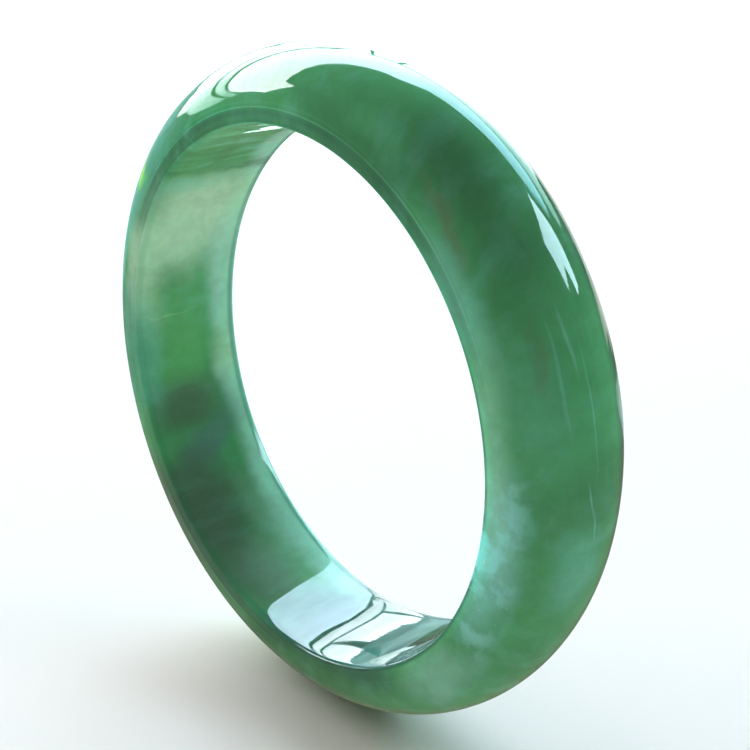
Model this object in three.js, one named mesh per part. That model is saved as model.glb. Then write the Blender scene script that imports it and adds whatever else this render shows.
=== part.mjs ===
// A bangle bracelet ground from a single piece of jade: one closed ring with a slightly crowned inner wall and
// a domed outside. It has no hinge, clasp or core, so it is one solid.
//
// Millimetres, +Z up. The ring stands upright with its opening along Y, and the origin is the lowest point of
// its crown, where it touches what it stands on.
import * as THREE from "three";

// Driving dimensions.
const OPENING_DIAMETER = 56; // across the inner wall at mid-width, the size a bangle is sold by
const WIDTH = 14; // along the opening, from one side to the other
const THICKNESS = 7.5; // from the inner wall to the crown of the dome

// The inner wall bulges towards the wrist: its sides lie this much further out than its middle.
const WALL_CROWN = 0.2;

// The edge that rolls from the inner wall to each side, and the narrow flat land there.
const EDGE_LENGTH = 1.5; // along the opening
const EDGE_RISE = 0.3; // away from the inner wall
const EDGE_POWER = 4; // 2 is an ellipse, and over 2 leaves the wall more gently and turns tighter at the land
const LAND_WIDTH = 0.5; // the flat ring that the bangle lies on when it is laid down

// The dome is half a superellipse: |across|^ACROSS_POWER + |outward|^OUTWARD_POWER = 1.
const ACROSS_POWER = 2; // 2 is an ellipse
const OUTWARD_POWER = 2.4; // over 2 gives a flatter crown and fuller shoulders than an ellipse

// How finely the round shapes are divided.
const TURN_SEGMENTS = 96;
const WALL_STEPS = 6;
const EDGE_STEPS = 5;
const DOME_STEPS = 26;

const INNER_RADIUS = OPENING_DIAMETER / 2;
const OUTER_RADIUS = INNER_RADIUS + THICKNESS;
const HALF_WIDTH = WIDTH / 2;
const WALL_END = HALF_WIDTH - EDGE_LENGTH;
const LAND_INNER_RADIUS = INNER_RADIUS + WALL_CROWN + EDGE_RISE;
const DOME_BASE_RADIUS = LAND_INNER_RADIUS + LAND_WIDTH;
const DOME_HEIGHT = OUTER_RADIUS - DOME_BASE_RADIUS;

// The crowned inner wall's radius at a distance along the opening.
function wallRadius(along) {
  return INNER_RADIUS + WALL_CROWN * (along / HALF_WIDTH) ** 2;
}

// The inner wall between its two edges, from the +Y side to the -Y side.
function wallPoints() {
  const points = [];
  for (let i = 1; i < WALL_STEPS; i++) {
    const along = WALL_END * (1 - (2 * i) / WALL_STEPS);
    points.push(new THREE.Vector2(wallRadius(along), along));
  }
  return points;
}

// A quarter superellipse on top of the crown, from the inner wall to the land, on the side given by sign.
function edgePoints(sign) {
  const points = [];
  for (let i = 0; i <= EDGE_STEPS; i++) {
    const turn = ((i / EDGE_STEPS) * Math.PI) / 2;
    const along = HALF_WIDTH - EDGE_LENGTH * (1 - Math.sin(turn) ** (2 / EDGE_POWER));
    const radius = wallRadius(along) + EDGE_RISE * (1 - Math.abs(Math.cos(turn)) ** (2 / EDGE_POWER));
    points.push(new THREE.Vector2(radius, sign * along));
  }
  return points;
}

// The outside, from one land over the crown to the other.
function domePoints() {
  const points = [];
  for (let i = 0; i <= DOME_STEPS; i++) {
    const turn = (i / DOME_STEPS - 0.5) * Math.PI;
    const across = Math.sign(turn) * Math.abs(Math.sin(turn)) ** (2 / ACROSS_POWER);
    const outward = Math.abs(Math.cos(turn)) ** (2 / OUTWARD_POWER);
    points.push(new THREE.Vector2(DOME_BASE_RADIUS + DOME_HEIGHT * outward, HALF_WIDTH * across));
  }
  return points;
}

// The ring's section as one closed outline of radius and distance along the opening.
function sectionOutline() {
  const outline = [...edgePoints(-1), ...domePoints(), ...edgePoints(1).reverse(), ...wallPoints()];
  return [...outline, outline[0].clone()];
}

function jade() {
  return new THREE.MeshStandardMaterial({
    color: 0x4a8f64,
    roughness: 0.06,
    metalness: 0,
  });
}

function bangleRing() {
  const ring = new THREE.Mesh(new THREE.LatheGeometry(sectionOutline(), TURN_SEGMENTS), jade());
  ring.name = "jade_ring";
  ring.position.z = OUTER_RADIUS;
  return ring;
}

const bangle = new THREE.Group();
bangle.add(bangleRing());

export default bangle;
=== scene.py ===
"""A bangle ground from one piece of cloudy green jade, standing on its edge on a pale floor.

Metres, +Z up, in the CAD model's frame: the ring's axis runs along Y and its lowest point is the origin.
Angles round the ring are in degrees, from +X up towards +Z. A bearing is in degrees too: 0 looks out of the
ring's front, along -Y, and 90 along +X.
"""
import math
import random

import bpy
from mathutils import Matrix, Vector


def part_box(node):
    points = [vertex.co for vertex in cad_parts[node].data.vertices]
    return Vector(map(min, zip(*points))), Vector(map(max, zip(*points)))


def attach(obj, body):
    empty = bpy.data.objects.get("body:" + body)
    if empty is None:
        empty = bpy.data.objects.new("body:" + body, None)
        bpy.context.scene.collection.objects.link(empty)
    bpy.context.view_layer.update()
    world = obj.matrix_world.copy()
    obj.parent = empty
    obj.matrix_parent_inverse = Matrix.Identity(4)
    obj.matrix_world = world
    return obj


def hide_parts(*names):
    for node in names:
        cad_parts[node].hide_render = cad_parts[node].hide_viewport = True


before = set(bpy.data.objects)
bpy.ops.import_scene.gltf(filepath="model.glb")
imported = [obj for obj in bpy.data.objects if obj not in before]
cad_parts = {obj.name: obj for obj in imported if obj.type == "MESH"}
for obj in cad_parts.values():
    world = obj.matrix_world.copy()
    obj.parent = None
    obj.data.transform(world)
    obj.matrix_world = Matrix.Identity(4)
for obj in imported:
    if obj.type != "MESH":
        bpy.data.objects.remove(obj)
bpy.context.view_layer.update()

MM = 0.001

# The ring. Its outer size comes from the CAD model.
RING_LOW, RING_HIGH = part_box("jade_ring")
OUTER_RADIUS = (RING_HIGH.z - RING_LOW.z) / 2
HALF_WIDTH = (RING_HIGH.y - RING_LOW.y) / 2
CENTRE = (RING_LOW + RING_HIGH) / 2
INNER_RADIUS = 28 * MM
WALL_CROWN = 0.2 * MM
EDGE_LENGTH = 1.5 * MM
EDGE_RISE = 0.3 * MM
EDGE_POWER = 4
LAND_WIDTH = 0.5 * MM
OUTWARD_POWER = 2.4
TURN_STEPS = 600
DOME_STEPS = 96
EDGE_STEPS = 18
WALL_STEPS = 20

# The faint unevenness of a surface polished by hand: waves of so much height, so many round the ring, and so
# far from one to the next along its axis.
POLISH_WAVES = [
    # height, waves round the ring, spacing along the axis
    (0.006 * MM, 7, 31 * MM),
    (0.004 * MM, 13, -23 * MM),
    (0.002 * MM, 29, 12 * MM),
]

# The camera.
CAMERA_AZIMUTH = 48.34
CAMERA_ELEVATION = 21.24
CAMERA_DISTANCE = 128.75 * MM
CAMERA_LENS = 58.49
AIM_RIGHT = 4.21 * MM
AIM_UP = 1.34 * MM

# The lights are windows a long way off. Places on a window are to its right and up from the ring's height,
# in units of its distance.
MAIN_BEARING = -125
SIDE_BEARING = 155
WINDOW_BRIGHTNESS = 9.5
GLOW_PATCH = 0.12
LEAF_HEIGHT = 0.035
LEAVES = random.Random(7)


def feathered(line, step):
    """The same line with leaves sticking up from it, one after another at so much across."""
    points = []
    for (start, low), (end, high) in zip(line, line[1:]):
        count = max(1, round((end - start) / step))
        for i in range(count):
            leaf = LEAF_HEIGHT * (LEAVES.random() if i % 2 else 0)
            points.append((start + (end - start) * i / count, low + (high - low) * i / count + leaf))
    return [*points, line[-1]]


# The main window's big upper pane.
UPPER_PANES = [
    [(-2.62, 0.58), (-2.3, 0.5), (-2.0, 0.42), (-1.75, 0.41), (-1.4, 0.47), (-0.9, 0.54), (-0.12, 0.565),
     (0.0, 0.58), (0.025, 0.56), (0.06, 0.515), (0.11, 0.505), (0.17, 0.56), (0.5, 0.57), (1.2, 0.65),
     (1.6, 0.78), (2.1, 1.05), (2.1, 1.4), (1.65, 1.38), (1.2, 1.28), (0.5, 1.24), (0.38, 1.33), (0.25, 1.38),
     (0.1, 1.28), (-0.4, 1.26), (-1.0, 1.33), (-1.35, 1.36), (-1.8, 1.3), (-2.05, 1.24), (-2.3, 1.29),
     (-2.5, 1.42), (-2.65, 1.36)],
]
# The strip between its two bars, and the panes under the lower bar, which end at shrubs outside.
SHRUBS_LEFT = [(-1.97, 0.16), (-1.85, 0.09), (-1.6, 0.08), (-1.35, 0.12), (-1.1, 0.16), (-0.75, 0.12),
               (-0.45, 0.17), (-0.2, 0.1)]
SHRUBS_MIDDLE = [(-0.12, 0.095), (-0.054, 0.1)]
SHRUBS_RIGHT = [(-0.03, 0.14), (0.035, 0.105)]
LOWER_PANES = [
    [(-2.07, 0.26), (-1.6, 0.33), (-1.2, 0.375), (-0.9, 0.4), (-0.4, 0.425), (-0.03, 0.43), (0.05, 0.375),
     (0.08, 0.375), (0.15, 0.45), (0.15, 0.525), (0.12, 0.475), (0.06, 0.48), (0.0, 0.525), (-0.5, 0.515),
     (-0.9, 0.505), (-1.2, 0.46), (-1.6, 0.41), (-2.07, 0.36)],
    [*feathered(SHRUBS_LEFT, 0.025), *feathered(SHRUBS_MIDDLE, 0.004), (-0.05, 0.4), (-0.5, 0.4),
     (-0.9, 0.37), (-1.2, 0.335), (-1.6, 0.29), (-1.97, 0.25)],
    [*feathered(SHRUBS_RIGHT, 0.004), (0.045, 0.05), (0.06, 0.06), (0.078, 0.355), (0.05, 0.35),
     (-0.03, 0.41), (-0.042, 0.41)],
    [(0.07, 0.06), (0.16, 0.0), (0.168, 0.25), (0.165, 0.54), (0.14, 0.42), (0.086, 0.36)],
    [(0.16, 0.0), (0.27, 0.0), (0.28, 0.25), (0.272, 0.3), (0.268, 0.53), (0.178, 0.53), (0.18, 0.3),
     (0.168, 0.25)],
    [(0.27, 0.0), (0.36, -0.08), (0.6, 0.08), (0.85, 0.26), (1.2, 0.33), (1.45, 0.46), (1.45, 0.6),
     (0.8, 0.56), (0.284, 0.53), (0.284, 0.3), (0.28, 0.25)],
]
# The side window's one pane.
SIDE_PANES = [
    [(-0.21, 0.77), (-0.17, 0.5), (-0.06, 0.29), (0.05, 0.3), (0.06, 0.47), (0.25, 0.44), (0.25, 0.77)],
]
# Outside the main window: a trunk, a path, a strip of lawn and the ground behind them. Inside it: the lit
# edges of a table and of a bench. They show only in reflections.
TRUNK = [
    [(-0.054, 0.1), (-0.03, 0.14), (-0.033, 0.03), (-0.043, -0.07), (-0.05, -0.1), (-0.054, 0.0)],
]
PATH = [
    [(-0.11, -0.03), (-0.08, -0.04), (-0.05, -0.1), (0.0, -0.2), (0.03, -0.3), (0.0, -0.3), (-0.05, -0.17),
     (-0.085, -0.09), (-0.11, -0.08)],
]
LAWN = [
    [(-1.3, -0.17), (-0.9, -0.145), (-0.6, -0.115), (-0.25, -0.12), (-0.25, -0.09), (-0.6, -0.07),
     (-1.0, -0.11), (-1.3, -0.15)],
]
GROUND = [
    [(-2.6, -0.3), (-0.02, -0.3), (0.01, -0.2), (0.07, -0.2), (0.1, -0.3), (0.9, -0.3), (0.9, 0.05),
     (0.3, 0.14), (-0.12, 0.14), (-2.6, 0.05)],
    [(0.9, -0.22), (1.5, -0.2), (1.5, -0.1), (0.9, -0.02)],
]
TABLE = [
    [(0.07, -0.43), (0.12, -0.4), (0.17, -0.47), (0.14, -0.52), (0.09, -0.58), (0.08, -0.56), (0.1, -0.5)],
]
BENCH = [
    [(0.3, -0.36), (1.4, -0.36), (1.6, -0.44), (1.4, -0.5), (0.3, -0.48)],
]

# The light's colour across each of them, as stops of place and colour from left to right.
UPPER_SKY = [
    (-2.7, (0.92, 0.94, 0.98)),
    (-1.0, (0.74, 0.8, 0.86)),
    (-0.2, (0.62, 0.76, 0.88)),
    (0.05, (0.58, 0.78, 0.95)),
    (0.35, (0.5, 0.72, 0.9)),
    (0.5, (0.36, 0.55, 0.66)),
    (0.9, (0.25, 0.46, 0.58)),
    (1.6, (0.2, 0.42, 0.52)),
    (2.1, (0.04, 0.08, 0.1)),
]
LOWER_SKY = [
    (-2.1, (0.18, 0.32, 0.3)),
    (-1.2, (0.4, 0.52, 0.5)),
    (-0.5, (0.55, 0.62, 0.64)),
    (0.0, (0.66, 0.76, 0.82)),
    (0.3, (0.5, 0.58, 0.6)),
    (0.8, (0.18, 0.28, 0.3)),
    (1.5, (0.12, 0.19, 0.2)),
]
SIDE_SKY = [(-0.3, (0.54, 0.8, 0.92)), (0.3, (0.54, 0.8, 0.92))]
TRUNK_LIGHT = [(-0.056, (0.0, 0.02, 0.02)), (-0.03, (0.05, 0.08, 0.085))]
PATH_LIGHT = [(-0.12, (0.28, 0.36, 0.36)), (0.05, (0.2, 0.28, 0.27))]
TABLE_LIGHT = [(0.0, (0.24, 0.36, 0.32)), (0.3, (0.24, 0.36, 0.32))]
BENCH_LIGHT = [(0.3, (0.02, 0.03, 0.03)), (0.7, (0.09, 0.11, 0.11)), (1.6, (0.07, 0.09, 0.09))]
LAWN_LIGHT = [(-1.3, (0.02, 0.08, 0.01)), (-0.7, (0.1, 0.2, 0.02)), (-0.2, (0.12, 0.2, 0.06))]
GROUND_LIGHT = [
    (-2.6, (0.0, 0.03, 0.03)),
    (-1.2, (0.03, 0.055, 0.06)),
    (-0.3, (0.05, 0.085, 0.09)),
    (-0.05, (0.08, 0.12, 0.13)),
    (0.1, (0.09, 0.125, 0.14)),
    (0.3, (0.14, 0.155, 0.155)),
    (0.9, (0.15, 0.15, 0.14)),
    (1.5, (0.1, 0.1, 0.09)),
]
WINDOWS = [
    # name, bearing, distance, panes, light, how patchy
    ("trunk", MAIN_BEARING, 1.9, TRUNK, TRUNK_LIGHT, 0.0),
    ("path", MAIN_BEARING, 1.94, PATH, PATH_LIGHT, 0.3),
    ("lawn", MAIN_BEARING, 1.96, LAWN, LAWN_LIGHT, 0.3),
    ("upper_window", MAIN_BEARING, 2.0, UPPER_PANES, UPPER_SKY, 0.1),
    ("lower_window", MAIN_BEARING, 2.0, LOWER_PANES, LOWER_SKY, 0.2),
    ("ground_outside", MAIN_BEARING, 2.06, GROUND, GROUND_LIGHT, 0.5),
    ("table", MAIN_BEARING, 2.0, TABLE, TABLE_LIGHT, 0.0),
    ("bench", MAIN_BEARING, 2.0, BENCH, BENCH_LIGHT, 0.3),
    ("side_window", SIDE_BEARING, 2.0, SIDE_PANES, SIDE_SKY, 0.0),
]

# What the polished stone mirrors besides the windows: a room that is lighter below. Its two colours blend
# between two slopes of the direction looked in, where -1 is straight down and 1 straight up.
ROOM_ABOVE = (0.13, 0.14, 0.13)
ROOM_BELOW = (0.22, 0.19, 0.15)
ROOM_BLEND = (-0.6, 0.1)

# What is seen behind the bangle and under it. Between two distances the floor fades into the backdrop.
BACKDROP = (0.97, 0.98, 0.98)
FLOOR_COLOUR = (0.92, 0.78, 0.71)
FLOOR_ROUGHNESS = 0.8
FLOOR_RADIUS = 3.0
FLOOR_SIDES = 128
FLOOR_FADE = (0.4, 1.7)

# The stone's colours.
DEEP = (0.06, 0.23, 0.09)
GREEN = (0.14, 0.56, 0.22)
APPLE = (0.2, 0.66, 0.23)
PALE = (0.67, 0.97, 0.68)
# A pale green, for mist in the stone and for the pale painted reflections on the rim and the dome.
MIST = (0.28, 0.8, 0.6)
# A pale teal, for mist in the stone and for painted glow where light comes through thin stone.
EDGE_GLOW_AND_MIST = (0.52, 0.9, 0.73)
TEAL = (0.12, 0.44, 0.3)
SLATE = (0.15, 0.33, 0.25)
SHADE = (0.125, 0.21, 0.12)
# A dark teal for painted shade: on the rolled edges, in the dark painted rim reflections and in the shade
# clouds at the bottom.
INK_SHADE = (0.05, 0.14, 0.11)
ASH = (0.42, 0.56, 0.44)
UMBER = (0.22, 0.3, 0.16)
WHITE = (0.8, 0.98, 0.94)
FROST = (0.46, 0.97, 0.95)

# Clouds in the stone, and a few of painted glow and painted reflection, in millimetres and degrees. Each is a
# soft ellipsoid at a turn round the ring, so far out from the axis and so far along it. Its size is its
# half-length round the ring, across the wall and along the axis, and its slant turns it about the ring's
# radius.
CLOUDS = [
    # name, turn, radius, along, size, slant, colour, strength
    # Painted glow: the pale clouds at the left of the inner wall stand for window light coming through the
    # stone.
    ("glow_left", 151, 28, -1, (12.5, 4, 13), 0, PALE, 0.95),
    ("glow_left_front", 166, 28.3, -6, (12, 3, 4.5), 0, PALE, 0.75),
    ("glow_left_back", 160, 28.5, 5, (11, 3, 4), 0, EDGE_GLOW_AND_MIST, 0.5),
    ("pale_back_spot", 190, 28.3, 4.8, (5, 3, 2.5), 0, PALE, 0.5),
    ("apple_left", 186, 28, -1, (12, 4, 7), 0, APPLE, 0.7),
    ("apple_left_front", 186, 28, -6, (11, 3, 3), 0, MIST, 0.45),
    ("hairline", 176.5, 28, -3, (0.2, 2, 6), -4, PALE, 0.22),
    ("deep_low_left", 200, 28, -2, (5, 4, 8), -15, SHADE, 0.8),
    ("slate_streak", 211, 28, -1, (3, 4, 9), -35, SLATE, 0.9),
    ("shade_bottom_left", 228, 28, -3.5, (13, 5, 8), 0, SHADE, 0.95),
    ("shade_low_front", 249, 28, -4, (11, 4, 6), -20, SHADE, 0.8),
    ("moss_bottom_left", 234, 28, 3, (10, 4, 3.5), -10, ASH, 0.3),
    ("haze_low", 249, 28, 0, (8, 4, 7), -35, ASH, 0.4),
    # Painted glow along the low back edge, from light coming through the thin stone.
    ("glow_low_back", 246, 28, 5, (9, 4, 4), -20, EDGE_GLOW_AND_MIST, 0.5),
    ("shade_bottom", 281, 28, 0, (23, 3.5, 20), 0, INK_SHADE, 0.95),
    ("shade_bottom_right", 303, 28, -3, (9, 3, 7), 0, INK_SHADE, 0.8),
    ("green_right", 18, 34, -3, (14, 4, 8), 0, GREEN, 0.8),
    ("deep_upper_right", 50, 34, -3, (12, 4, 6), 0, DEEP, 0.35),
    ("deep_right_rim", 66, 30, -7, (14, 3, 3), 0, DEEP, 0.7),
    ("teal_left", 138, 32, -6, (18, 5, 5), 0, TEAL, 0.6),
    ("teal_left_low", 182, 31, -6.5, (18, 4, 3), 0, TEAL, 0.65),
    ("mist_lower_right", 348, 29.5, -7, (13, 4, 3.2), 0, FROST, 0.5),
    ("mist_bottom_right", 317, 32, -6.5, (8, 5, 3.5), 0, EDGE_GLOW_AND_MIST, 0.5),
    ("mist_right_rim", 8, 29, -7, (14, 3, 3), 0, EDGE_GLOW_AND_MIST, 0.5),
    ("mist_upper_right_rim", 36, 29.5, -7, (9, 3.5, 2.5), 0, FROST, 0.3),
    ("light_right_upper", 17, 33, -5, (8, 4, 3), 0, MIST, 0.25),
    ("light_right", 349, 35, -1.8, (6.5, 4, 4.2), 0, MIST, 0.55),
    ("deep_right", 3, 35, 0, (6, 4, 6), 0, DEEP, 0.35),
    # Painted reflection: these umber streaks stand for a faint reflection of something reddish.
    ("umber_reflection", 46, 32.5, -6.2, (7, 3, 0.7), -6, UMBER, 0.7),
    ("umber_reflection_low", 23, 34.3, -4.7, (5, 3, 0.8), -3, UMBER, 0.35),
    ("deep_bottom_rim", 272, 31, -7, (16, 5, 3), 0, DEEP, 0.6),
    ("shade_left_rim", 224, 31, -7, (16, 5, 4), 0, SHADE, 0.9),
    ("pale_behind", 262, 33, 4, (12, 5, 6), 0, PALE, 0.4),
    ("mist_behind", 120, 34, 5, (16, 5, 5), 0, MIST, 0.5),
]
# Thin straight streaks near the crown, given in the same way.
STREAKS = [
    ("light_streak", 14, 35.3, -0.9, (8, 3, 0.2), 0, MIST, 0.4),
    ("light_streak_high", 24, 35.1, -2, (4, 3, 0.3), 4, FROST, 0.25),
    ("light_streak_front", 19, 34.8, -3.4, (7, 3, 0.25), 0, MIST, 0.4),
    ("scratch", 1, 35.4, -1.3, (2.2, 3, 0.15), 14, FROST, 0.35),
    ("scratch_low", 357, 35.4, -0.6, (2.5, 3, 0.15), 10, FROST, 0.35),
]

# How much of its brightness the stone's colour keeps where the windows light it directly.
LIT_SHADE = 0.36

# The noise that pushes the clouds, the streaks and the veins about: its size, and how far it pushes.
CLOUD_DRIFT = (9 * MM, 5 * MM)
STREAK_DRIFT = (9 * MM, 1.2 * MM)
VEIN_DRIFT = (5 * MM, 2.5 * MM)

# How large the features of the stone's textures are.
BODY_SIZE = 14 * MM
WISP_SIZE = 5 * MM
GRAIN_SIZE = 1.6 * MM
VEIN_SIZE = 2.2 * MM
BREAK_SIZE = 7 * MM
PATCH_SIZE = 3 * MM
FLECK_SIZE = 0.6 * MM
SMEAR_SIZE = 6 * MM

# Painted reflections: fine light and dark bands between the inner wall and the dome, such as a rounded rim
# mirrors.
RIM_REFLECTION_BANDS = [
    # radius, shade: 0 is dark, 0.5 leaves the stone as it is and 1 is pale
    (28.15 * MM, 0.5),
    (28.5 * MM, 0.15),
    (28.9 * MM, 0.22),
    (29.4 * MM, 0.15),
    (29.77 * MM, 0.25),
    (29.88 * MM, 0.9),
    (30.0 * MM, 0.35),
    (30.25 * MM, 0.45),
    (30.35 * MM, 0.65),
    (30.5 * MM, 0.5),
]

# The fine light and dark streaks that run round the dome, partly the stone's own and partly painted
# reflections of thin bright things.
DOME_STREAKS_AND_REFLECTIONS = [
    # spacing, strength
    (1.2 * MM, 0.35),
    (0.4 * MM, 0.45),
]

# Where the veins are strongest, and where the white patches and flecks lie, each as the turn, radius, along
# and size of a cloud.
VEINED_PART = (124, 28, 0, (12, 4, 16))
FLECKED_PART = (347, 29.7, -7, (16, 4, 4))

# Sides of the ring, as angles round it: the upper left, the left, and the two sides that the windows light.
UPPER_LEFT = 145
LEFT = 180
LIT_LEFT = 170
LIT_RIGHT = 10

# Where parts of the section softly begin or end. Along the axis, to each side or towards the back:
SIDE_BEGINS = (5.8 * MM, 6.4 * MM)
BACK_EDGE_BEGINS = (2.5 * MM, 5.5 * MM)
LIT_BACK_BEGINS = (1.5 * MM, 5 * MM)
FRONT_ENDS = (-5.5 * MM, -2.5 * MM)
# and outwards from the axis:
LIT_WALL_ENDS = (28.15 * MM, 28.45 * MM)
ROLLED_EDGE_ENDS = (28.4 * MM, 28.8 * MM)
LIT_DOME_BEGINS = (28.5 * MM, 29.5 * MM)
BACK_EDGE_ENDS = (29 * MM, 32 * MM)
DOME_BEGINS = (30 * MM, 32 * MM)

# How smooth the polished surface is, from its clearest parts to its dullest, how strongly the stone bends
# light, and how far light spreads in it: a length, and how much of it each of red, green and blue goes.
POLISH = (0.02, 0.055)
REFRACTION = 1.66
SPREAD = 2.0 * MM
SPREAD_OF_COLOURS = (0.5, 1.0, 0.85)


def quarter(steps):
    """Angles that divide a quarter turn into so many steps."""
    return [math.pi / 2 * i / steps for i in range(steps + 1)]


def wall_radius(along):
    """The crowned inner wall's radius at a distance along the axis."""
    return INNER_RADIUS + WALL_CROWN * (along / HALF_WIDTH) ** 2


def edge_outline(side):
    """The edge that rolls from the inner wall to the flat land on one side, -1 or 1."""
    points = []
    for turn in quarter(EDGE_STEPS):
        along = HALF_WIDTH - EDGE_LENGTH * (1 - math.sin(turn) ** (2 / EDGE_POWER))
        radius = wall_radius(along) + EDGE_RISE * (1 - abs(math.cos(turn)) ** (2 / EDGE_POWER))
        points.append((radius, side * along))
    return points


def dome_outline():
    """The outside of the ring's section, from one land over the crown to the other."""
    base = INNER_RADIUS + WALL_CROWN + EDGE_RISE + LAND_WIDTH
    points = []
    for i in range(DOME_STEPS + 1):
        turn = (i / DOME_STEPS - 0.5) * math.pi
        outward = abs(math.cos(turn)) ** (2 / OUTWARD_POWER)
        points.append((base + (OUTER_RADIUS - base) * outward, HALF_WIDTH * math.sin(turn)))
    return points


def wall_outline():
    """The inner wall between its two edges."""
    end = HALF_WIDTH - EDGE_LENGTH
    alongs = [end * (1 - 2 * i / WALL_STEPS) for i in range(1, WALL_STEPS)]
    return [(wall_radius(along), along) for along in alongs]


def polish_wave(angle, along):
    """How far the hand-polished surface lies outside its true shape."""
    total = 0
    for height, around, spacing in POLISH_WAVES:
        total += height * math.sin(around * angle + 2 * math.pi * along / spacing)
    return total


def swept_vertices(outline):
    """The section's points at every step round the ring."""
    vertices = []
    for step in range(TURN_STEPS):
        angle = 2 * math.pi * step / TURN_STEPS
        for radius, along in outline:
            radius += polish_wave(angle, along)
            vertices.append((radius * math.cos(angle), along, radius * math.sin(angle) + CENTRE.z))
    return vertices


def swept_faces(count):
    """The faces between each step's points and the next step's, for so many points in the section."""
    faces = []
    for step in range(TURN_STEPS):
        here = step * count
        there = (step + 1) % TURN_STEPS * count
        for i in range(count):
            j = (i + 1) % count
            faces.append((here + i, here + j, there + j, there + i))
    return faces


def ring_mesh():
    outline = edge_outline(-1) + dome_outline() + edge_outline(1)[::-1] + wall_outline()
    mesh = bpy.data.meshes.new("bangle")
    mesh.from_pydata(swept_vertices(outline), [], swept_faces(len(outline)))
    mesh.shade_smooth()
    return mesh


def node(tree, kind, inputs, **settings):
    """Add a node. Each of its inputs is a value, or another node's output that feeds it."""
    new = tree.nodes.new("ShaderNode" + kind)
    for name, value in settings.items():
        setattr(new, name, value)
    for name, value in inputs.items():
        if isinstance(value, bpy.types.NodeSocket):
            tree.links.new(value, new.inputs[name])
        else:
            new.inputs[name].default_value = value
    return new


def opaque(colour):
    return (*colour, 1)


def blend(tree, amount, under, over):
    """Mix two colours, where amount 1 gives the second. A Mix node's colours are its sockets 6 and 7."""
    inputs = {"Factor": amount}
    for socket, colour in ((6, under), (7, over)):
        inputs[socket] = colour if isinstance(colour, bpy.types.NodeSocket) else opaque(colour)
    return node(tree, "Mix", inputs, data_type="RGBA").outputs[2]


def ranged(tree, value, low, high, to_low=0.0, to_high=1.0):
    """Map a value from one range to another, with soft ends."""
    inputs = {"Value": value, "From Min": low, "From Max": high, "To Min": to_low, "To Max": to_high}
    return node(tree, "MapRange", inputs, interpolation_type="SMOOTHSTEP").outputs["Result"]


def ramp(tree, value, stops):
    """A colour that changes with a value, given as stops of value and colour."""
    first, last = stops[0][0], stops[-1][0]
    inputs = {"Value": value, "From Min": first, "From Max": last}
    colours = node(tree, "ValToRGB", {"Fac": node(tree, "MapRange", inputs).outputs["Result"]})
    elements = colours.color_ramp.elements
    while len(elements) < len(stops):
        elements.new(1.0)
    for element, (spot, colour) in zip(elements, stops):
        element.position = (spot - first) / (last - first)
        element.color = opaque(colour)
    return colours.outputs["Color"]


def noise(tree, vector, size, detail=4.0, roughness=0.55):
    """Noise whose largest features are about so many metres across."""
    inputs = {"Vector": vector, "Scale": 1 / size, "Detail": detail, "Roughness": roughness}
    return node(tree, "TexNoise", inputs)


def stone_place(tree):
    """The place in the stone, measured from the middle of the opening."""
    coordinates = node(tree, "TexCoord", {})
    inputs = {0: coordinates.outputs["Object"], 1: CENTRE}
    return node(tree, "VectorMath", inputs, operation="SUBTRACT").outputs["Vector"]


def drifted(tree, place, size, amount):
    """The same place, pushed about by noise, so that what it draws has ragged edges."""
    push = noise(tree, place, size, 3.0).outputs["Color"]
    centred = node(tree, "VectorMath", {0: push, 1: (0.5, 0.5, 0.5)}, operation="SUBTRACT").outputs["Vector"]
    scaled = node(tree, "VectorMath", {0: centred, "Scale": amount}, operation="SCALE").outputs["Vector"]
    return node(tree, "VectorMath", {0: place, 1: scaled}, operation="ADD").outputs["Vector"]


def cloud_amount(tree, place, turn, radius, along, size, slant=0):
    """1 in the middle of a soft ellipsoid and 0 outside it."""
    angle = math.radians(turn)
    centre = (radius * MM * math.cos(angle), along * MM, radius * MM * math.sin(angle))
    round_ring, across_wall, along_axis = size
    inputs = {"Vector": place, "Location": centre, "Rotation": (math.radians(slant), -angle, 0),
              "Scale": (across_wall * MM, along_axis * MM, round_ring * MM)}
    inside = node(tree, "Mapping", inputs, vector_type="TEXTURE").outputs["Vector"]
    sphere = node(tree, "TexGradient", {"Vector": inside}, gradient_type="SPHERICAL").outputs["Fac"]
    return ranged(tree, sphere, 0.0, 0.8)


def product(tree, first, second):
    """Two values multiplied."""
    return node(tree, "Math", {0: first, 1: second}, operation="MULTIPLY").outputs["Value"]


def larger(tree, first, second):
    """The larger of two values."""
    return node(tree, "Math", {0: first, 1: second}, operation="MAXIMUM").outputs["Value"]


def towards(tree, place, turn):
    """How far a place lies from the axis in the direction of an angle round the ring."""
    angle = math.radians(turn)
    direction = (math.cos(angle), 0, math.sin(angle))
    return node(tree, "VectorMath", {0: place, 1: direction}, operation="DOT_PRODUCT").outputs["Value"]


def ring_place(tree, place):
    """A place's distance from the ring's axis, and how far it lies along the axis."""
    parts = node(tree, "SeparateXYZ", {"Vector": place}).outputs
    flat = node(tree, "CombineXYZ", {"X": parts["X"], "Z": parts["Z"]}).outputs["Vector"]
    radius = node(tree, "VectorMath", {0: flat}, operation="LENGTH").outputs["Value"]
    return radius, parts["Y"]


def ring_streaks(tree, place, radius, size):
    """Noise drawn out along the ring: it changes fast across the section and slowly round the ring."""
    slow = node(tree, "VectorMath", {0: place, 1: (0.04, 1, 0.04)}, operation="MULTIPLY").outputs["Vector"]
    inputs = {"Vector": slow, "W": product(tree, radius, 1 / size), "Scale": 1 / size, "Detail": 3.0,
              "Roughness": 0.6}
    return node(tree, "TexNoise", inputs, noise_dimensions="4D").outputs["Fac"]


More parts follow.
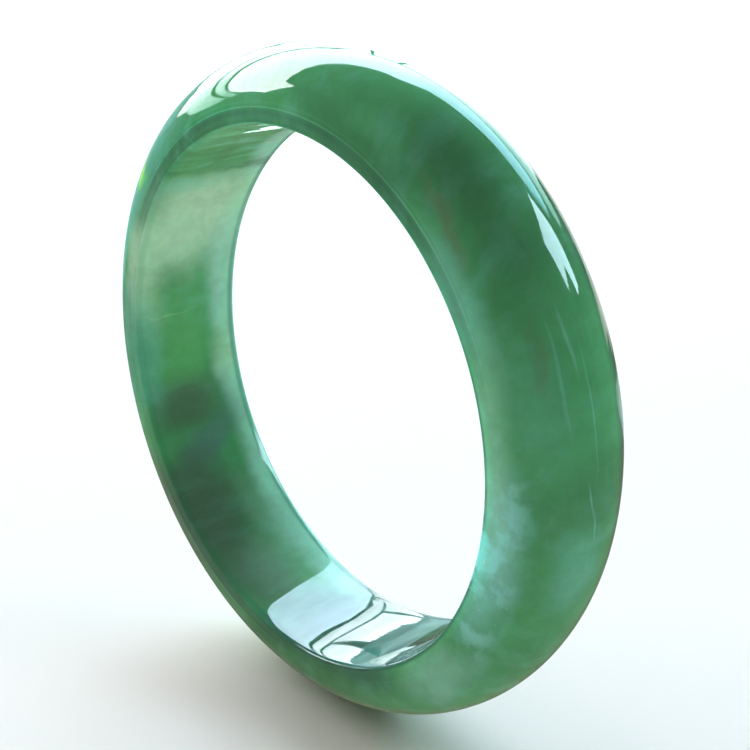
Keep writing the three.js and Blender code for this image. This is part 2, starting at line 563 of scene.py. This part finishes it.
def back_edge_glow(tree, radius, along):
    """1 along the inner wall's back edge, where a pale painted glow stands for light coming through the thin
    stone, and 0 away from it.
    """
    near_back = ranged(tree, along, *BACK_EDGE_BEGINS)
    near_wall = ranged(tree, radius, *BACK_EDGE_ENDS, 1.0, 0.0)
    return product(tree, near_back, near_wall)


def with_shapes(tree, place, colour, shapes):
    """Colour the stone in each of a list of soft ellipsoids, in their order."""
    for _name, turn, radius, along, size, slant, tint, strength in shapes:
        amount = cloud_amount(tree, place, turn, radius, along, size, slant)
        colour = blend(tree, product(tree, amount, strength), colour, tint)
    return colour


def with_clouds(tree, place, colour):
    """The painted glow along the back edge, for light coming through the thin stone, then the clouds and the
    streaks.
    """
    ragged = drifted(tree, place, *CLOUD_DRIFT)
    # Painted glow: the back edge is made pale where light would come through the thin stone.
    mist = back_edge_glow(tree, *ring_place(tree, ragged))
    colour = blend(tree, product(tree, mist, 0.9), colour, EDGE_GLOW_AND_MIST)
    colour = with_shapes(tree, ragged, colour, CLOUDS)
    return with_shapes(tree, drifted(tree, place, *STREAK_DRIFT), colour, STREAKS)


def with_veins(tree, place, colour):
    """Wavy veins straight across the wall, strongest at the top of its left side."""
    wavy = drifted(tree, place, *VEIN_DRIFT)
    drawn_out = node(tree, "VectorMath", {0: wavy, 1: (1, 0.14, 1)}, operation="MULTIPLY").outputs["Vector"]
    veins = noise(tree, drawn_out, VEIN_SIZE, 4.0, 0.6).outputs["Fac"]
    strength = ranged(tree, cloud_amount(tree, place, *VEINED_PART), 0.0, 0.6, 0.08, 0.5)
    dark = product(tree, ranged(tree, veins, 0.48, 0.7), strength)
    colour = blend(tree, dark, colour, DEEP)
    pale = product(tree, ranged(tree, veins, 0.3, 0.5, 1.0, 0.0), strength)
    return blend(tree, pale, colour, MIST)


def with_painted_edge_shade(tree, colour, near_side, radius, along, upper_left):
    """Painted shade on the edges that roll from the inner wall to the sides, most at the lower right of the
    front, to hold back light glowing through the thin stone.
    """
    rolled = product(tree, near_side, ranged(tree, radius, *ROLLED_EDGE_ENDS, 1.0, 0.0))
    lower_right = ranged(tree, upper_left, -18 * MM, -6 * MM, 0.85, 0.15)
    colour = blend(tree, product(tree, rolled, lower_right), colour, INK_SHADE)
    back = ranged(tree, along, 0, MM, 0.0, 0.4)
    return blend(tree, product(tree, rolled, back), colour, INK_SHADE)


def with_rim_shade_and_reflections(tree, place, colour):
    """Painted shade on the rim's edges and painted reflections in its bands, which are broken and fade at the
    left and towards the lower right.
    """
    radius, along = ring_place(tree, place)
    shade = ramp(tree, radius, [(spot, (grey, grey, grey)) for spot, grey in RIM_REFLECTION_BANDS])
    side = node(tree, "Math", {0: along}, operation="ABSOLUTE").outputs["Value"]
    near_side = ranged(tree, side, *SIDE_BEGINS)
    upper_left = towards(tree, place, UPPER_LEFT)
    colour = with_painted_edge_shade(tree, colour, near_side, radius, along, upper_left)
    not_low = ranged(tree, upper_left, -20 * MM, -4 * MM, 0.12, 1.0)
    not_left = ranged(tree, towards(tree, place, LEFT), 21 * MM, 28 * MM, 1.0, 0.3)
    broken = ranged(tree, noise(tree, place, BREAK_SIZE).outputs["Fac"], 0.35, 0.6, 0.5, 1.0)
    clear = product(tree, product(tree, not_low, not_left), broken)
    banded = product(tree, near_side, clear)
    # The bands' dark and pale stripes are painted reflections.
    dark = product(tree, ranged(tree, shade, 0.0, 0.5, 0.8, 0.0), banded)
    colour = blend(tree, dark, colour, INK_SHADE)
    pale = product(tree, ranged(tree, shade, 0.5, 1.0, 0.0, 0.55), banded)
    return blend(tree, pale, colour, MIST)


def with_dome_streaks_and_reflections(tree, place, colour):
    """The fine streaks that run round the outside, partly the stone's own and partly painted reflections."""
    radius, _along = ring_place(tree, place)
    outside = ranged(tree, radius, *DOME_BEGINS)
    for size, strength in DOME_STREAKS_AND_REFLECTIONS:
        streaks = ring_streaks(tree, place, radius, size)
        pale = ranged(tree, streaks, 0.52, 0.8, 0.0, strength)
        colour = blend(tree, product(tree, pale, outside), colour, MIST)
        dark = ranged(tree, streaks, 0.2, 0.48, strength, 0.0)
        colour = blend(tree, product(tree, dark, outside), colour, DEEP)
    return colour


def with_flecks(tree, place, colour):
    """White patches and small flecks in the mist at the ring's lower right."""
    mist = cloud_amount(tree, place, *FLECKED_PART)
    patches = ranged(tree, noise(tree, place, PATCH_SIZE, 5.0).outputs["Fac"], 0.46, 0.62, 0.0, 0.7)
    colour = blend(tree, product(tree, patches, mist), colour, FROST)
    flecks = ranged(tree, noise(tree, place, FLECK_SIZE, 1.0).outputs["Fac"], 0.72, 0.82, 0.0, 0.7)
    return blend(tree, product(tree, flecks, mist), colour, WHITE)


def lit_dome(tree, place, radius, along):
    """1 on the outside's back and left, and 0 on its front."""
    back = ranged(tree, along, *LIT_BACK_BEGINS)
    beyond_front = ranged(tree, along, *FRONT_ENDS)
    left = product(tree, beyond_front, ranged(tree, towards(tree, place, LIT_LEFT), 8 * MM, 22 * MM))
    outside = ranged(tree, radius, *LIT_DOME_BEGINS)
    return product(tree, outside, larger(tree, back, left))


def lit_wall(tree, place, radius):
    """1 on the inner wall's right side, and 0 elsewhere."""
    inside = ranged(tree, radius, *LIT_WALL_ENDS, 1.0, 0.0)
    return product(tree, inside, ranged(tree, towards(tree, place, LIT_RIGHT), 3 * MM, 14 * MM))


def deeper_where_lit(tree, place, colour):
    """Darken the stone that the windows light directly, so that it looks as deep as the rest."""
    radius, along = ring_place(tree, place)
    lit = larger(tree, lit_dome(tree, place, radius, along), lit_wall(tree, place, radius))
    brightness = ranged(tree, lit, 0.0, 1.0, 1.0, LIT_SHADE)
    return node(tree, "VectorMath", {0: colour, "Scale": brightness}, operation="SCALE").outputs["Vector"]


def stone_body(tree, place):
    """Plain green stone, deeper in places, with pale wisps."""
    body = noise(tree, place, BODY_SIZE).outputs["Fac"]
    colour = blend(tree, ranged(tree, body, 0.35, 0.65), DEEP, GREEN)
    colour = blend(tree, 0.6, colour, GREEN)
    inputs = {"Vector": drifted(tree, place, *CLOUD_DRIFT), "Scale": (1.6, 0.5, 1.0)}
    drawn_out = node(tree, "Mapping", inputs).outputs["Vector"]
    wisps = noise(tree, drawn_out, WISP_SIZE, 5.0).outputs["Fac"]
    return blend(tree, ranged(tree, wisps, 0.48, 0.72, 0.0, 0.3), colour, MIST)


def with_grain(tree, place, colour):
    grain = noise(tree, place, GRAIN_SIZE, 5.0, 0.65).outputs["Fac"]
    return blend(tree, ranged(tree, grain, 0.3, 0.7, 0.0, 0.14), colour, DEEP)


def stone_colour(tree, place):
    """The stone's colour at a place, from its body up to the marks on its surface, with painted glow,
    reflections and shade.
    """
    colour = stone_body(tree, place)
    for layer in (with_clouds, with_grain, with_veins, with_rim_shade_and_reflections, with_dome_streaks_and_reflections, with_flecks,
                  deeper_where_lit):
        colour = layer(tree, place, colour)
    return colour


def jade():
    material = bpy.data.materials.new("jade")
    material.use_nodes = True
    tree = material.node_tree
    shader = tree.nodes["Principled BSDF"]
    place = stone_place(tree)
    tree.links.new(stone_colour(tree, place), shader.inputs["Base Color"])
    smears = noise(tree, place, SMEAR_SIZE, 5.0).outputs["Fac"]
    tree.links.new(ranged(tree, smears, 0.35, 0.75, *POLISH), shader.inputs["Roughness"])
    shader.inputs["IOR"].default_value = REFRACTION
    shader.inputs["Subsurface Weight"].default_value = 1.0
    shader.inputs["Subsurface Radius"].default_value = SPREAD_OF_COLOURS
    shader.inputs["Subsurface Scale"].default_value = SPREAD
    return material


def link(thing):
    bpy.context.scene.collection.objects.link(thing)
    return thing


def floor_material():
    """A matt surface that fades into the backdrop."""
    material = bpy.data.materials.new("pale_floor")
    material.use_nodes = True
    tree = material.node_tree
    shader = tree.nodes["Principled BSDF"]
    shader.inputs["Base Color"].default_value = opaque(FLOOR_COLOUR)
    shader.inputs["Roughness"].default_value = FLOOR_ROUGHNESS
    place = node(tree, "TexCoord", {}).outputs["Object"]
    away = node(tree, "VectorMath", {0: place}, operation="LENGTH").outputs["Value"]
    haze = node(tree, "Emission", {"Color": opaque(BACKDROP)}).outputs["Emission"]
    inputs = {"Fac": ranged(tree, away, *FLOOR_FADE), 1: shader.outputs["BSDF"], 2: haze}
    faded = node(tree, "MixShader", inputs).outputs["Shader"]
    tree.links.new(faded, tree.nodes["Material Output"].inputs["Surface"])
    return material


def make_floor():
    """A round floor, which the stone doesn't mirror."""
    mesh = bpy.data.meshes.new("floor")
    turns = [2 * math.pi * i / FLOOR_SIDES for i in range(FLOOR_SIDES)]
    corners = [(FLOOR_RADIUS * math.cos(turn), FLOOR_RADIUS * math.sin(turn), 0) for turn in turns]
    mesh.from_pydata(corners, [], [list(range(FLOOR_SIDES))])
    mesh.materials.append(floor_material())
    floor = link(bpy.data.objects.new("floor", mesh))
    floor.visible_glossy = False


def window_glow(name, sky, patchiness):
    """Light that changes colour across a window, with soft patches."""
    material = bpy.data.materials.new(name)
    material.use_nodes = True
    tree = material.node_tree
    tree.nodes.clear()
    place = node(tree, "TexCoord", {}).outputs["Object"]
    across = node(tree, "SeparateXYZ", {"Vector": place}).outputs["X"]
    patches = ranged(tree, noise(tree, place, GLOW_PATCH).outputs["Fac"], 0.35, 0.6, 1 - patchiness, 1.0)
    strength = product(tree, patches, WINDOW_BRIGHTNESS)
    light = node(tree, "Emission", {"Color": ramp(tree, across, sky), "Strength": strength})
    node(tree, "OutputMaterial", {"Surface": light.outputs["Emission"]})
    return material


def make_window(name, bearing, distance, panes, sky, patchiness):
    """Stand a window upright, facing the ring and hidden from the camera. Its X runs right and its Y up."""
    vertices = []
    faces = []
    for corners in panes:
        faces.append([len(vertices) + i for i in range(len(corners))])
        vertices += [(across, up, 0) for across, up in corners]
    mesh = bpy.data.meshes.new(name)
    mesh.from_pydata(vertices, [], faces)
    mesh.materials.append(window_glow(name + "_glow", sky, patchiness))
    window = link(bpy.data.objects.new(name, mesh))
    angle = math.radians(bearing)
    ahead = Vector((math.sin(angle), -math.cos(angle), 0))
    window.location = Vector((0, 0, CENTRE.z)) + ahead * distance
    window.rotation_euler = (-ahead).to_track_quat("Z", "Y").to_euler()
    window.scale = (distance, distance, distance)
    window.visible_camera = False


def make_world():
    """A dim room for light and reflections, and a pale backdrop for the camera."""
    world = bpy.data.worlds.new("room")
    bpy.context.scene.world = world
    world.use_nodes = True
    tree = world.node_tree
    direction = node(tree, "TexCoord", {}).outputs["Generated"]
    height = node(tree, "SeparateXYZ", {"Vector": direction}).outputs["Z"]
    room = blend(tree, ranged(tree, height, *ROOM_BLEND), ROOM_BELOW, ROOM_ABOVE)
    seen = node(tree, "LightPath", {}).outputs["Is Camera Ray"]
    tree.links.new(blend(tree, seen, room, BACKDROP), tree.nodes["Background"].inputs["Color"])


def make_camera():
    """Point the camera at the ring's middle, then move it a little to the right and up."""
    azimuth = math.radians(CAMERA_AZIMUTH)
    elevation = math.radians(CAMERA_ELEVATION)
    back = Vector((math.sin(azimuth) * math.cos(elevation), -math.cos(azimuth) * math.cos(elevation),
                   math.sin(elevation)))
    right = Vector((math.cos(azimuth), math.sin(azimuth), 0))
    up = back.cross(right)
    data = bpy.data.cameras.new("camera")
    data.lens = CAMERA_LENS
    data.clip_start = 0.01
    camera = link(bpy.data.objects.new("camera", data))
    camera.location = CENTRE + right * AIM_RIGHT + up * AIM_UP + back * CAMERA_DISTANCE
    camera.rotation_euler = back.to_track_quat("Z", "Y").to_euler()
    bpy.context.scene.camera = camera


def make_bangle():
    mesh = ring_mesh()
    mesh.materials.append(jade())
    bangle = link(bpy.data.objects.new("bangle", mesh))
    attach(bangle, "root")
    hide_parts("jade_ring")


def main():
    make_camera()
    make_bangle()
    make_floor()
    for window in WINDOWS:
        make_window(*window)
    make_world()
    bpy.context.scene.view_settings.view_transform = "Standard"


main()
